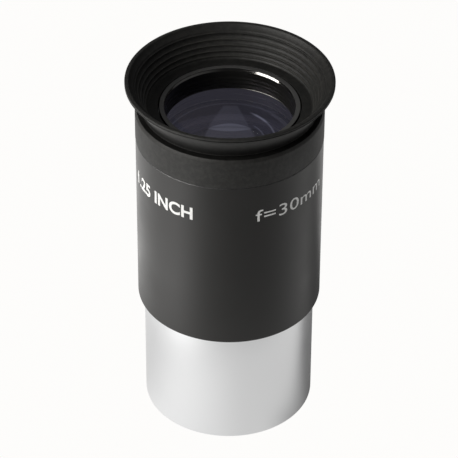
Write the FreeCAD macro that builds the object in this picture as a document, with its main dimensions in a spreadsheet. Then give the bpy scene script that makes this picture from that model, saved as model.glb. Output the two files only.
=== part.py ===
import FreeCAD, Part
import os
import Sketcher

# Telescope eyepiece, 30 mm, 1.25 inch push fit.
# Frame: +Z is the optical axis and points to the eye; the origin is the centre
# of the barrel's open bottom face. Millimetres.

os.makedirs("parts", exist_ok=True)
doc = FreeCAD.newDocument("eyepiece")

# ---------------------------------------------------------------- dimensions
SIZES = [
    # push-fit barrel, 1.25 in, with its filter thread and the spigot that
    # screws into the body sleeve
    ("barrel_radius", 15.875),
    ("barrel_exposed", 24.05),
    ("barrel_seat", 0.15),
    ("barrel_chamfer", 0.15),
    ("barrel_bore_radius", 14.4),
    ("barrel_throat_radius", 13.6),
    ("filter_mouth_radius", 14.45),
    ("filter_mouth_depth", 0.45),
    ("filter_minor_radius", 13.93),
    ("filter_major_radius", 14.25),
    ("filter_pitch", 0.6),
    ("filter_end", 4.9),
    ("filter_turns", 7),
    ("spigot_relief_radius", 14.95),
    ("spigot_relief_end", 24.85),
    ("spigot_crest_radius", 15.35),
    ("spigot_root_radius", 15.02),
    ("spigot_end", 29.4),
    ("spigot_pitch", 0.75),
    ("spigot_turns", 5),
    ("baffle_start", 7.0),
    ("baffle_pitch", 0.8),
    ("baffle_depth", 0.18),
    ("baffle_rings", 13),
    # field stop
    ("stop_radius", 14.34),
    ("stop_aperture_radius", 13.5),
    ("stop_bottom", 19.0),
    ("stop_top", 20.6),
    ("stop_land", 0.3),
    ("slot_width", 1.2),
    ("slot_depth", 0.7),
    # body sleeve
    ("sleeve_radius", 17.08),
    ("sleeve_top", 59.15),
    ("sleeve_chamfer", 0.15),
    ("sleeve_recess_radius", 15.95),
    ("sleeve_minor_radius", 15.45),
    ("sleeve_major_radius", 15.75),
    ("sleeve_thread_end", 30.2),
    ("sleeve_bore_radius", 15.2),
    ("sleeve_bore_end", 50.4),
    ("sleeve_upper_radius", 14.9),
    ("sleeve_upper_major", 15.15),
    ("sleeve_turns", 5),
    ("sleeve_upper_turns", 8),
    # eye cell
    ("cell_bottom", 38.6),
    ("cell_radius", 14.3),
    ("cell_crest_radius", 14.8),
    ("cell_root_radius", 14.5),
    ("cell_thread_start", 51.2),
    ("cell_thread_turns", 8),
    ("cell_flange_radius", 15.3),
    ("cell_groove_radius", 14.5),
    ("cell_groove_bottom", 62.6),
    ("cell_groove_top", 63.55),
    ("cell_lip_radius", 15.05),
    ("cell_lip_top", 64.25),
    ("cell_ring_radius", 12.72),
    ("cell_ring_top", 65.35),
    ("cell_eye_radius", 11.85),
    ("cell_bore_radius", 12.55),
    ("cell_nut_radius", 12.75),
    ("cell_nut_major", 12.95),
    ("cell_nut_end", 40.5),
    ("light_trap_pitch", 0.8),
    ("light_trap_depth", 0.1),
    ("light_trap_rings", 3),
    # optics: two cemented doublets, crown sides facing each other
    ("lens_radius", 12.5),
    ("lens_seat", 60.8),
    ("seat_clearance", 0.05),
    ("flint_sag", 0.39),
    ("flint_curve", 200.51),
    ("flint_centre", 2.0),
    ("cement_sag", 3.0677),
    ("cement_curve", 27.0),
    ("crown_centre", 8.0),
    ("crown_sag", 2.7273),
    ("crown_curve", 30.0),
    ("lens_gap", 0.6),
    ("spacer_inner_radius", 11.7),
    ("spacer_end_drop", 0.22),
    ("nut_end_drop", 0.06),
    ("nut_radius", 12.68),
    ("nut_inner_radius", 11.5),
    ("nut_height", 1.95),
    # rubber eyecup
    ("cup_radius", 17.13),
    ("cup_draft_radius", 17.12),
    ("cup_bottom", 59.3),
    ("cup_inner_radius", 15.4),
    ("cup_hook_radius", 14.6),
    ("cup_hook_bottom", 62.72),
    ("cup_hook_top", 63.43),
    ("cup_neck_inner_radius", 15.15),
    ("cup_floor_bottom", 64.37),
    ("cup_floor_top", 65.25),
    ("cup_floor_radius", 12.95),
    ("cup_well_radius", 14.88),
    ("cup_neck_radius", 15.75),
    ("cup_neck_bottom", 64.75),
    ("cup_neck_top", 65.25),
    ("cup_shoulder_start", 63.9),
    ("cup_shoulder_mid_radius", 17.0),
    ("cup_shoulder_mid", 64.22),
    ("cup_shoulder_radius", 16.7),
    ("cup_shoulder_end", 64.42),
    ("flare_edge_radius", 16.86),
    ("flare_edge", 66.0),
    ("fold_lower", 66.1),
    ("fold_lower_inner", 15.2),
    ("fold_lower_outer", 16.9),
    ("ring_a_radius", 15.35),
    ("ring_a", 66.8),
    ("ring_b_radius", 15.85),
    ("ring_b", 67.7),
    ("ring_c_radius", 16.4),
    ("ring_c", 68.64),
    ("ring_d_radius", 16.9),
    ("ring_d", 69.67),
    ("ring_drop", 0.72),
    ("ring_lean", 0.1),
    ("crease_bottom", 69.5),
    ("crease_bottom_inner", 16.88),
    ("crease_split_radius", 17.5),
    ("crease_bottom_outer", 18.475),
    ("crease_top", 69.9),
    ("crease_top_inner", 17.08),
    ("rim_bottom", 70.45),
    ("rim_bottom_inner", 17.6),
    ("rim_radius", 18.89),
    ("rim_knee_radius", 18.86),
    ("rim_knee", 70.33),
    ("rim_inner_radius", 18.0),
    ("rim_inner", 70.9),
    ("rim_top_inner_radius", 18.15),
    ("rim_top_outer_radius", 18.75),
    ("rim_edge", 70.86),
    ("rim_top", 71.0),
]

sheet = doc.addObject("Spreadsheet::Sheet", "Dims")
for row, (alias, number) in enumerate(SIZES, start=1):
    sheet.set("A%d" % row, alias)
    sheet.set("B%d" % row, repr(float(number)))
    sheet.setAlias("B%d" % row, alias)
doc.recompute()


class Q:
    """A length with the sheet expression that gives it."""

    def __init__(self, value, text):
        self.value = float(value)
        self.text = text

    @staticmethod
    def of(x):
        if isinstance(x, Q):
            return x
        return Q(x, repr(float(x)))

    def _join(self, other, sign, value):
        return Q(value, "(%s %s %s)" % (self.text, sign, other.text))

    def __add__(self, other):
        other = Q.of(other)
        return self._join(other, "+", self.value + other.value)

    def __radd__(self, other):
        return Q.of(other) + self

    def __sub__(self, other):
        other = Q.of(other)
        return self._join(other, "-", self.value - other.value)

    def __rsub__(self, other):
        return Q.of(other) - self

    def __mul__(self, other):
        other = Q.of(other)
        return self._join(other, "*", self.value * other.value)

    def __rmul__(self, other):
        return Q.of(other) * self


D = {alias: Q(number, "Dims." + alias) for alias, number in SIZES}
ZERO = Q(0.0, "0")
SUBPARTS = []


def plane(body, role):
    for item in body.Origin.OriginFeatures:
        if item.Role == role:
            return item
    raise RuntimeError("no plane " + role)


def new_body(label):
    body = doc.addObject("PartDesign::Body", label)
    body.Label = label
    SUBPARTS.append(body)
    return body


def new_sketch(body, name, role="XZ_Plane", lift=None):
    sk = body.newObject("Sketcher::SketchObject", name)
    sk.AttachmentSupport = [(plane(body, role), "")]
    sk.MapMode = "FlatFace"
    if lift is not None:
        sk.setExpression("AttachmentOffset.Base.z", lift.text)
    return sk


def pin_point(sk, geo, end, x, y):
    """Hold one end of an edge at (x, y), both read from the sheet."""
    if abs(x.value) < 1e-12:
        sk.addConstraint(Sketcher.Constraint("PointOnObject", geo, end, -2))
    else:
        k = sk.addConstraint(Sketcher.Constraint("DistanceX", -1, 1, geo, end, x.value))
        sk.setExpression("Constraints[%d]" % k, x.text)
    if abs(y.value) < 1e-12:
        sk.addConstraint(Sketcher.Constraint("PointOnObject", geo, end, -1))
    else:
        k = sk.addConstraint(Sketcher.Constraint("DistanceY", -1, 1, geo, end, y.value))
        sk.setExpression("Constraints[%d]" % k, y.text)


def outline(sk, points):
    """A closed outline of straight edges through points."""
    pts = [(Q.of(x), Q.of(y)) for x, y in points]
    count = len(pts)
    for i in range(count):
        (x0, y0), (x1, y1) = pts[i], pts[(i + 1) % count]
        sk.addGeometry(Part.LineSegment(FreeCAD.Vector(x0.value, y0.value, 0),
                                        FreeCAD.Vector(x1.value, y1.value, 0)), False)
    for i in range(count):
        sk.addConstraint(Sketcher.Constraint("Coincident", i, 2, (i + 1) % count, 1))
    for i in range(count):
        pin_point(sk, i, 1, *pts[i])


def revolve(label, points):
    """A turned piece: its half section in the XZ plane, turned about Z."""
    body = new_body(label)
    sk = new_sketch(body, label + "_section")
    outline(sk, points)
    turn = body.newObject("PartDesign::Revolution", label + "_turned")
    turn.Profile = sk
    turn.ReferenceAxis = (sk, ["V_Axis"])
    turn.Angle = 360.0
    body.Tip = turn
    doc.recompute()
    return body


def ring_cuts(body, name, points, pitch, count):
    """One turned cut, repeated along Z: thread turns or light-trap rings."""
    before = body.Shape.Volume
    sk = new_sketch(body, name + "_section")
    outline(sk, points)
    cut = body.newObject("PartDesign::Groove", name + "_cut")
    cut.Profile = sk
    cut.ReferenceAxis = (sk, ["V_Axis"])
    cut.Angle = 360.0
    body.Tip = cut
    doc.recompute()
    one = before - body.Shape.Volume
    rows = body.newObject("PartDesign::LinearPattern", name + "_rows")
    rows.Originals = [cut]
    rows.Direction = (sk, ["V_Axis"])
    rows.Occurrences = int(count.value)
    rows.setExpression("Occurrences", count.text)
    rows.setExpression("Length", (pitch * (count - 1)).text)
    body.Tip = rows
    doc.recompute()
    taken = before - body.Shape.Volume
    if not (one > 0 and taken > one * (count.value - 0.5)):
        raise RuntimeError("%s: the rings cut %.4f of one %.4f" % (name, taken, one))


def spanner_slots(body, name, z_face, inner, outer, depth, upward):
    """Two slots across a ring's face, for a pin spanner."""
    before = body.Shape.Volume
    sk = new_sketch(body, name + "_section", "XY_Plane", z_face)
    w = D["slot_width"]
    outline(sk, [(inner, ZERO - w * 0.5), (outer, ZERO - w * 0.5), (outer, w * 0.5), (inner, w * 0.5)])
    cut = body.newObject("PartDesign::Pocket", name + "_cut")
    cut.Profile = sk
    cut.setExpression("Length", depth.text)
    cut.Reversed = upward
    body.Tip = cut
    doc.recompute()
    one = before - body.Shape.Volume
    ring = body.newObject("PartDesign::PolarPattern", name + "_pair")
    ring.Originals = [cut]
    ring.Axis = (sk, ["N_Axis"])
    ring.Angle = 360.0
    ring.Occurrences = 2
    body.Tip = ring
    doc.recompute()
    taken = before - body.Shape.Volume
    if not (one > 0 and taken > 1.9 * one):
        raise RuntimeError("%s: the slots cut %.4f of one %.4f" % (name, taken, one))


def thread_notch(deep, shallow, start, pitch):
    """A V notch from the shallow radius to the deep one, one pitch tall."""
    over = Q.of(0.05)
    side = 1.0 if deep.value > shallow.value else -1.0
    back = shallow - over * side
    return [
        (back, start + pitch * 0.06),
        (shallow, start + pitch * 0.06),
        (deep, start + pitch * 0.44),
        (deep, start + pitch * 0.56),
        (shallow, start + pitch * 0.94),
        (back, start + pitch * 0.94),
    ]


# ------------------------------------------------------------ nosepiece barrel
shoulder = D["barrel_exposed"] + D["barrel_seat"]
c = D["barrel_chamfer"]
barrel = revolve("nosepiece_barrel", [
    (D["filter_mouth_radius"], ZERO),
    (D["barrel_radius"] - c, ZERO),
    (D["barrel_radius"], c),
    (D["barrel_radius"], shoulder),
    (D["spigot_relief_radius"], shoulder),
    (D["spigot_relief_radius"], D["spigot_relief_end"]),
    (D["spigot_crest_radius"], D["spigot_relief_end"] + 0.35),
    (D["spigot_crest_radius"], D["spigot_end"] - 0.3),
    (D["spigot_crest_radius"] - 0.3, D["spigot_end"]),
    (D["barrel_throat_radius"], D["spigot_end"]),
    (D["barrel_throat_radius"], D["stop_top"]),
    (D["barrel_bore_radius"], D["stop_top"]),
    (D["barrel_bore_radius"], D["filter_end"]),
    (D["filter_minor_radius"], D["filter_end"]),
    (D["filter_minor_radius"], D["filter_mouth_depth"]),
])
ring_cuts(barrel, "filter_thread",
          thread_notch(D["filter_major_radius"], D["filter_minor_radius"],
                       D["filter_mouth_depth"] + 0.1, D["filter_pitch"]),
          D["filter_pitch"], D["filter_turns"])
ring_cuts(barrel, "spigot_thread",
          thread_notch(D["spigot_root_radius"], D["spigot_crest_radius"],
                       D["spigot_relief_end"] + 0.4, D["spigot_pitch"]),
          D["spigot_pitch"], D["spigot_turns"])
ring_cuts(barrel, "barrel_baffle",
          thread_notch(D["barrel_bore_radius"] + D["baffle_depth"], D["barrel_bore_radius"],
                       D["baffle_start"], D["baffle_pitch"]),
          D["baffle_pitch"], D["baffle_rings"])

# ------------------------------------------------------------------ field stop
stop = revolve("field_stop", [
    (D["stop_aperture_radius"], D["stop_top"] - D["stop_land"]),
    (D["stop_aperture_radius"] + 0.45, D["stop_bottom"]),
    (D["stop_radius"], D["stop_bottom"]),
    (D["stop_radius"], D["stop_top"]),
    (D["stop_aperture_radius"], D["stop_top"]),
])
spanner_slots(stop, "field_stop_slot", D["stop_bottom"],
              D["stop_aperture_radius"] - 0.2, D["stop_radius"] + 0.3, D["slot_depth"], True)

# ----------------------------------------------------------------- body sleeve
c = D["sleeve_chamfer"]
sleeve = revolve("body_sleeve", [
    (D["sleeve_recess_radius"], D["barrel_exposed"]),
    (D["sleeve_radius"] - c * 0.6, D["barrel_exposed"]),
    (D["sleeve_radius"], D["barrel_exposed"] + c * 0.6),
    (D["sleeve_radius"], D["sleeve_top"] - c),
    (D["sleeve_radius"] - c, D["sleeve_top"]),
    (D["sleeve_upper_radius"], D["sleeve_top"]),
    (D["sleeve_upper_radius"], D["sleeve_bore_end"]),
    (D["sleeve_bore_radius"], D["sleeve_bore_end"] - 0.3),
    (D["sleeve_bore_radius"], D["sleeve_thread_end"] + 0.9),
    (D["sleeve_major_radius"] + 0.05, D["sleeve_thread_end"] + 0.6),
    (D["sleeve_major_radius"] + 0.05, D["sleeve_thread_end"]),
    (D["sleeve_minor_radius"], D["sleeve_thread_end"]),
    (D["sleeve_minor_radius"], shoulder),
    (D["sleeve_recess_radius"], shoulder),
])
ring_cuts(sleeve, "sleeve_thread",
          thread_notch(D["sleeve_major_radius"], D["sleeve_minor_radius"],
                       D["spigot_relief_end"] + 0.4, D["spigot_pitch"]),
          D["spigot_pitch"], D["sleeve_turns"])
ring_cuts(sleeve, "sleeve_cell_thread",
          thread_notch(D["sleeve_upper_major"], D["sleeve_upper_radius"],
                       D["cell_thread_start"] + 0.35, D["spigot_pitch"]),
          D["spigot_pitch"], D["sleeve_upper_turns"])

# -------------------------------------------------------------------- eye cell
cell = revolve("eye_cell", [
    (D["cell_nut_radius"], D["cell_bottom"]),
    (D["cell_radius"], D["cell_bottom"]),
    (D["cell_radius"], D["cell_thread_start"] - 0.5),
    (D["cell_crest_radius"], D["cell_thread_start"]),
    (D["cell_crest_radius"], D["sleeve_top"]),
    (D["cell_flange_radius"], D["sleeve_top"]),
    (D["cell_flange_radius"], D["cell_groove_bottom"]),
    (D["cell_groove_radius"], D["cell_groove_bottom"]),
    (D["cell_groove_radius"], D["cell_groove_top"]),
    (D["cell_lip_radius"], D["cell_groove_top"]),
    (D["cell_lip_radius"], D["cell_lip_top"]),
    (D["cell_ring_radius"], D["cell_lip_top"]),
    (D["cell_ring_radius"], D["cell_ring_top"]),
    (D["cell_eye_radius"], D["cell_ring_top"]),
    (D["cell_eye_radius"], D["lens_seat"] + D["seat_clearance"]),
    (D["cell_bore_radius"], D["lens_seat"] + D["seat_clearance"]),
    (D["cell_bore_radius"], D["cell_nut_end"]),
    (D["cell_nut_radius"], D["cell_nut_end"]),
])
ring_cuts(cell, "cell_thread",
          thread_notch(D["cell_root_radius"], D["cell_crest_radius"],
                       D["cell_thread_start"] + 0.35, D["spigot_pitch"]),
          D["spigot_pitch"], D["cell_thread_turns"])
ring_cuts(cell, "cell_light_trap",
          thread_notch(D["cell_eye_radius"] + D["light_trap_depth"], D["cell_eye_radius"],
                       D["lens_seat"] + 0.5, D["light_trap_pitch"]),
          D["light_trap_pitch"], D["light_trap_rings"])

# ---------------------------------------------------------------------- optics
rl = D["lens_radius"]
eye_top = D["lens_seat"]
eye_vertex = eye_top + D["flint_sag"]
cement_a_vertex = eye_vertex - D["flint_centre"]
cement_a_edge = cement_a_vertex - D["cement_sag"]
crown_a_vertex = cement_a_vertex - D["crown_centre"]
crown_a_edge = crown_a_vertex + D["crown_sag"]
crown_b_vertex = crown_a_vertex - D["lens_gap"]
crown_b_edge = crown_b_vertex - D["crown_sag"]
cement_b_vertex = crown_b_vertex - D["crown_centre"]
cement_b_edge = cement_b_vertex + D["cement_sag"]
field_vertex = cement_b_vertex - D["flint_centre"]
field_edge = field_vertex + D["flint_sag"]

# each lens is a cylinder of glass ground to spheres: inside a sphere for a
# convex face, and outside one for a concave face
def solid(kind, name, **sizes):
    item = doc.addObject(kind, name)
    for prop, size in sizes.items():
        item.setExpression(prop.replace("__", "."), size.text)
    return item


def ball(name, radius, centre):
    return solid("Part::Sphere", name, Radius=radius, Placement__Base__z=centre)


def lens(label, bottom, top, convex, concave):
    """Glass of the lens radius from bottom to top; convex and concave are
    lists of (radius, height of the centre)."""
    shape = solid("Part::Cylinder", label + "_blank", Radius=rl,
                  Height=top - bottom, Placement__Base__z=bottom)
    steps = [("Part::Common", c) for c in convex] + [("Part::Cut", c) for c in concave]
    for k, (kind, (radius, centre)) in enumerate(steps):
        last = k == len(steps) - 1
        tool = ball("%s_ball_%d" % (label, k), radius, centre)
        joined = doc.addObject(kind, label if last else "%s_ground_%d" % (label, k))
        joined.Base = shape
        joined.Tool = tool
        shape = joined
    shape.Label = label
    doc.recompute()
    SUBPARTS.append(shape)
    return shape


lens("eye_flint_lens", cement_a_edge, eye_vertex,
     [(D["flint_curve"], eye_vertex - D["flint_curve"])],
     [(D["cement_curve"], cement_a_vertex - D["cement_curve"])])
lens("eye_crown_lens", crown_a_vertex, cement_a_vertex,
     [(D["cement_curve"], cement_a_vertex - D["cement_curve"]),
      (D["crown_curve"], crown_a_vertex + D["crown_curve"])], [])
lens("field_crown_lens", cement_b_vertex, crown_b_vertex,
     [(D["crown_curve"], crown_b_vertex - D["crown_curve"]),
      (D["cement_curve"], cement_b_vertex + D["cement_curve"])], [])
lens("field_flint_lens", field_vertex, cement_b_edge,
     [(D["flint_curve"], field_vertex + D["flint_curve"])],
     [(D["cement_curve"], cement_b_vertex + D["cement_curve"])])

# flat ends, so each lens rests on the inner corner of the ring's end
spacer_bottom = crown_b_edge + D["spacer_end_drop"]
spacer_top = crown_a_edge - D["spacer_end_drop"]
revolve("lens_spacer_ring", [
    (D["spacer_inner_radius"] + 0.35, spacer_bottom),
    (rl, spacer_bottom),
    (rl, spacer_top),
    (D["spacer_inner_radius"] + 0.35, spacer_top),
    (D["spacer_inner_radius"], spacer_top - 0.9),
    (D["spacer_inner_radius"], spacer_bottom + 0.9),
])

nut_bottom = field_edge - D["nut_height"]
nut_top = field_edge - D["nut_end_drop"]
nut = revolve("lens_retaining_ring", [
    (D["nut_inner_radius"] + 0.5, nut_bottom),
    (D["nut_radius"], nut_bottom),
    (D["nut_radius"], D["cell_nut_end"] - 0.05),
    (rl - 0.05, D["cell_nut_end"] - 0.05),
    (rl - 0.05, nut_top),
    (D["nut_inner_radius"] + 0.3, nut_top),
    (D["nut_inner_radius"], nut_top - 0.5),
    (D["nut_inner_radius"], nut_bottom + 0.5),
])
spanner_slots(nut, "retaining_ring_slot", nut_bottom,
              D["nut_inner_radius"] - 0.2, D["nut_radius"] + 0.3, D["slot_depth"], True)

# ---------------------------------------------------------------------- eyecup
# One rubber moulding, split across its fold lines. The collar hooks into the
# cell's groove; its floor covers the cell's lip; the flare starts above the neck.
revolve("eyecup_collar", [
    (D["cup_inner_radius"], D["cup_bottom"]),
    (D["cup_radius"], D["cup_bottom"]),
    (D["cup_draft_radius"], D["cup_shoulder_start"]),
    (D["cup_shoulder_mid_radius"], D["cup_shoulder_mid"]),
    (D["cup_shoulder_radius"], D["cup_shoulder_end"]),
    (D["cup_neck_radius"], D["cup_neck_bottom"]),
    (D["cup_neck_radius"], D["cup_neck_top"]),
    (D["flare_edge_radius"], D["flare_edge"]),
    (D["fold_lower_outer"], D["fold_lower"]),
    (D["fold_lower_inner"], D["fold_lower"]),
    (D["cup_well_radius"], D["cup_floor_top"] + 0.35),
    (D["cup_well_radius"], D["cup_floor_top"]),
    (D["cup_floor_radius"], D["cup_floor_top"]),
    (D["cup_floor_radius"], D["cup_floor_bottom"]),
    (D["cup_neck_inner_radius"], D["cup_floor_bottom"]),
    (D["cup_neck_inner_radius"], D["cup_hook_top"]),
    (D["cup_hook_radius"], D["cup_hook_top"]),
    (D["cup_hook_radius"], D["cup_hook_bottom"]),
    (D["cup_inner_radius"], D["cup_hook_bottom"]),
])

# lower wall of the flare: each inner ring is a short drop under a sharp crest
drop, lean = D["ring_drop"], D["ring_lean"]
revolve("eyecup_lower_wall", [
    (D["fold_lower_inner"], D["fold_lower"]),
    (D["fold_lower_outer"], D["fold_lower"]),
    (D["crease_bottom_outer"], D["crease_bottom"]),
    (D["crease_bottom_inner"], D["crease_bottom"]),
    (D["ring_d_radius"] - lean, D["ring_d"] - drop),
    (D["ring_c_radius"], D["ring_c"]),
    (D["ring_c_radius"] - lean, D["ring_c"] - drop),
    (D["ring_b_radius"], D["ring_b"]),
    (D["ring_b_radius"] - lean, D["ring_b"] - drop),
    (D["ring_a_radius"], D["ring_a"]),
    (D["ring_a_radius"] - lean, D["ring_a"] - 0.55),
])

# crease: the inner ring at which the cup turns over
revolve("eyecup_crease", [
    (D["crease_bottom_inner"], D["crease_bottom"]),
    (D["crease_split_radius"], D["crease_bottom"]),
    (D["crease_split_radius"], D["crease_top"]),
    (D["crease_top_inner"], D["crease_top"]),
    (D["ring_d_radius"], D["ring_d"]),
])

# upper wall: the part that rolls out and down round the crease
revolve("eyecup_upper_wall", [
    (D["crease_split_radius"], D["crease_bottom"]),
    (D["crease_bottom_outer"], D["crease_bottom"]),
    (D["rim_knee_radius"], D["rim_knee"]),
    (D["rim_radius"], D["rim_bottom"]),
    (D["rim_bottom_inner"], D["rim_bottom"]),
    (D["crease_top_inner"], D["crease_top"]),
    (D["crease_split_radius"], D["crease_top"]),
])

revolve("eyecup_rim", [
    (D["rim_bottom_inner"], D["rim_bottom"]),
    (D["rim_radius"], D["rim_bottom"]),
    (D["rim_radius"], D["rim_edge"]),
    (D["rim_top_outer_radius"], D["rim_top"]),
    (D["rim_top_inner_radius"], D["rim_top"]),
    (D["rim_inner_radius"], D["rim_inner"]),
])

# --------------------------------------------------------------------- writing
doc.recompute()
for item in doc.Objects:
    for word in item.State:
        if word in ("Invalid", "Error"):
            raise RuntimeError("%s is %s" % (item.Label, item.State))
seen = set()
for body in SUBPARTS:
    body.Placement = FreeCAD.Placement(FreeCAD.Vector(0, 0, 0), FreeCAD.Rotation())
doc.recompute()
for body in SUBPARTS:
    shape = body.Shape
    if shape.isNull() or not shape.isValid():
        raise RuntimeError(body.Label + " has no valid shape")
    if len(shape.Solids) != 1:
        raise RuntimeError("%s has %d solids" % (body.Label, len(shape.Solids)))
    if body.Label in seen:
        raise RuntimeError(body.Label + " twice")
    seen.add(body.Label)
for body in SUBPARTS:
    body.Shape.exportStep("parts/%s.step" % body.Label)
    box = body.Shape.BoundBox
    print("%-22s z %7.3f %7.3f  r %7.3f  volume %10.3f"
          % (body.Label, box.ZMin, box.ZMax, box.XMax, body.Shape.Volume))
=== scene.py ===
import math

import bmesh
import bpy
from mathutils import Matrix, Vector


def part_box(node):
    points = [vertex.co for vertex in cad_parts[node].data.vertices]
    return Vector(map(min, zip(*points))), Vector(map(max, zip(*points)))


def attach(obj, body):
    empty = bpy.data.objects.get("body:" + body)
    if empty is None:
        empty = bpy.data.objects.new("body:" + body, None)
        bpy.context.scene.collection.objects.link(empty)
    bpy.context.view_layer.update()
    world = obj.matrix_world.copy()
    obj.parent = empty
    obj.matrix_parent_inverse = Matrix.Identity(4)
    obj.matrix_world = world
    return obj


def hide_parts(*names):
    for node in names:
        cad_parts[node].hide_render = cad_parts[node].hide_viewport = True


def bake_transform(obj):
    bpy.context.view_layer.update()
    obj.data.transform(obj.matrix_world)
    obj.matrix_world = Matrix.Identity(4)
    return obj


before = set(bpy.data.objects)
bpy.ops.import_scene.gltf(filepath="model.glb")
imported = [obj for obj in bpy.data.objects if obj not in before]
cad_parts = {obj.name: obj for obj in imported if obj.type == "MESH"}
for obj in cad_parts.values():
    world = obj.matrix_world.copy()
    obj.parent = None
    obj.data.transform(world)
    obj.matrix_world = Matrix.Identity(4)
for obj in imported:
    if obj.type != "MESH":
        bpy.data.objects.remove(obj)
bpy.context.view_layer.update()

MM = 0.001
SEG = 288                                    # steps round a turned piece
scene = bpy.context.scene
scene.view_settings.view_transform = "Standard"
scene.view_settings.look = "None"


# ------------------------------------------------------------------ turned work
def rounded(points, steps=5):
    """Closed outline of (r, z, radius) corners in mm; each corner with a
    radius becomes an arc."""
    out = []
    n = len(points)
    for i in range(n):
        p = Vector(points[i][:2])
        rad = points[i][2] if len(points[i]) > 2 else 0.0
        a = Vector(points[i - 1][:2]) - p
        b = Vector(points[(i + 1) % n][:2]) - p
        if rad <= 0 or a.length < 1e-9 or b.length < 1e-9:
            out.append((p.x, p.y))
            continue
        half = a.angle(b) / 2
        if half > math.radians(89):
            out.append((p.x, p.y))
            continue
        reach = min(rad / math.tan(half), a.length * 0.48, b.length * 0.48)
        rad = reach * math.tan(half)
        p0, p1 = p + a.normalized() * reach, p + b.normalized() * reach
        centre = p + (a.normalized() + b.normalized()).normalized() * (rad / math.sin(half))
        v0, v1 = p0 - centre, p1 - centre
        t0 = math.atan2(v0.y, v0.x)
        dt = math.atan2(v1.y, v1.x) - t0
        dt = (dt + math.pi) % (2 * math.pi) - math.pi
        for k in range(steps + 1):
            t = t0 + dt * k / steps
            out.append((centre.x + rad * math.cos(t), centre.y + rad * math.sin(t)))
    return out


def arc_between(a, b, sag, steps):
    """Points after a up to and with b, on an arc whose middle stands sag to
    the left of the way from a to b."""
    a, b = Vector(a), Vector(b)
    chord = b - a
    left = Vector((-chord.y, chord.x)).normalized()
    out = []
    half = chord.length / 2
    radius = (half * half + sag * sag) / (2 * abs(sag))
    centre = (a + b) / 2 + left * (sag - math.copysign(radius, sag))
    t0 = math.atan2(a.y - centre.y, a.x - centre.x)
    dt = math.atan2(b.y - centre.y, b.x - centre.x) - t0
    dt = (dt + math.pi) % (2 * math.pi) - math.pi
    for k in range(1, steps + 1):
        t = t0 + dt * k / steps
        out.append((centre.x + radius * math.cos(t), centre.y + radius * math.sin(t)))
    return out


def new_object(name, bm, materials, angle=35.0):
    bmesh.ops.recalc_face_normals(bm, faces=bm.faces)
    mesh = bpy.data.meshes.new(name)
    bm.to_mesh(mesh)
    bm.free()
    for m in materials:
        mesh.materials.append(m)
    mesh.shade_smooth()
    mesh.set_sharp_from_angle(angle=math.radians(angle))
    obj = bpy.data.objects.new(name, mesh)
    scene.collection.objects.link(obj)
    return obj


def lathe(name, outline, materials, pick=None, seg=SEG, angle=35.0, thread=None):
    """Turns a closed outline of (r, z) in mm about Z. An outline may have
    points on the axis. pick(r, z) gives a face's material index from its
    middle. thread(r, z, turn) gives a point's own radius, for a helix."""
    bm = bmesh.new()
    rings = []
    for r, z in outline:
        if r < 1e-6:
            rings.append([bm.verts.new((0, 0, z * MM))])
            continue
        ring = []
        for k in range(seg):
            t = 2 * math.pi * k / seg
            rr = thread(r, z, t) if thread else r
            ring.append(bm.verts.new((rr * math.cos(t) * MM, rr * math.sin(t) * MM, z * MM)))
        rings.append(ring)
    n = len(rings)
    for i in range(n):
        a, b = rings[i], rings[(i + 1) % n]
        if len(a) == 1 and len(b) == 1:
            continue
        index = 0
        if pick:
            j = (i + 1) % n
            index = pick((outline[i][0] + outline[j][0]) / 2, (outline[i][1] + outline[j][1]) / 2)
        for k in range(seg):
            q = (k + 1) % seg
            if len(a) == 1:
                f = bm.faces.new((a[0], b[q], b[k]))
            elif len(b) == 1:
                f = bm.faces.new((a[k], a[q], b[0]))
            else:
                f = bm.faces.new((a[k], a[q], b[q], b[k]))
            f.material_index = index
    return new_object(name, bm, materials, angle)


def threaded_run(r0, r1, z0, z1, pitch, per_turn=10):
    """Outline points of a threaded wall from (r0, z0) to (r1, z1)."""
    steps = max(2, int(abs(z1 - z0) / pitch * per_turn))
    return [(r0 + (r1 - r0) * k / steps, z0 + (z1 - z0) * k / steps) for k in range(steps + 1)]


def helix(r_wall, depth, pitch, z0, z1, fade=0.5, tol=0.08):
    """Radius of a V thread cut depth deep (minus: outward) into the wall at
    r_wall, between z0 and z1, with run-outs."""
    def radius(r, z, t):
        if abs(r - r_wall) > tol or z < z0 - 1e-6 or z > z1 + 1e-6:
            return r
        phase = (z / pitch - t / (2 * math.pi)) % 1.0
        tooth = min(1.0, max(0.0, (abs(phase - 0.5) * 2 - 0.12) / 0.76))
        edge = min(1.0, max(0.0, (z - z0) / (pitch * fade)), max(0.0, (z1 - z) / (pitch * fade)))
        return r - depth * tooth * edge
    return radius


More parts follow.
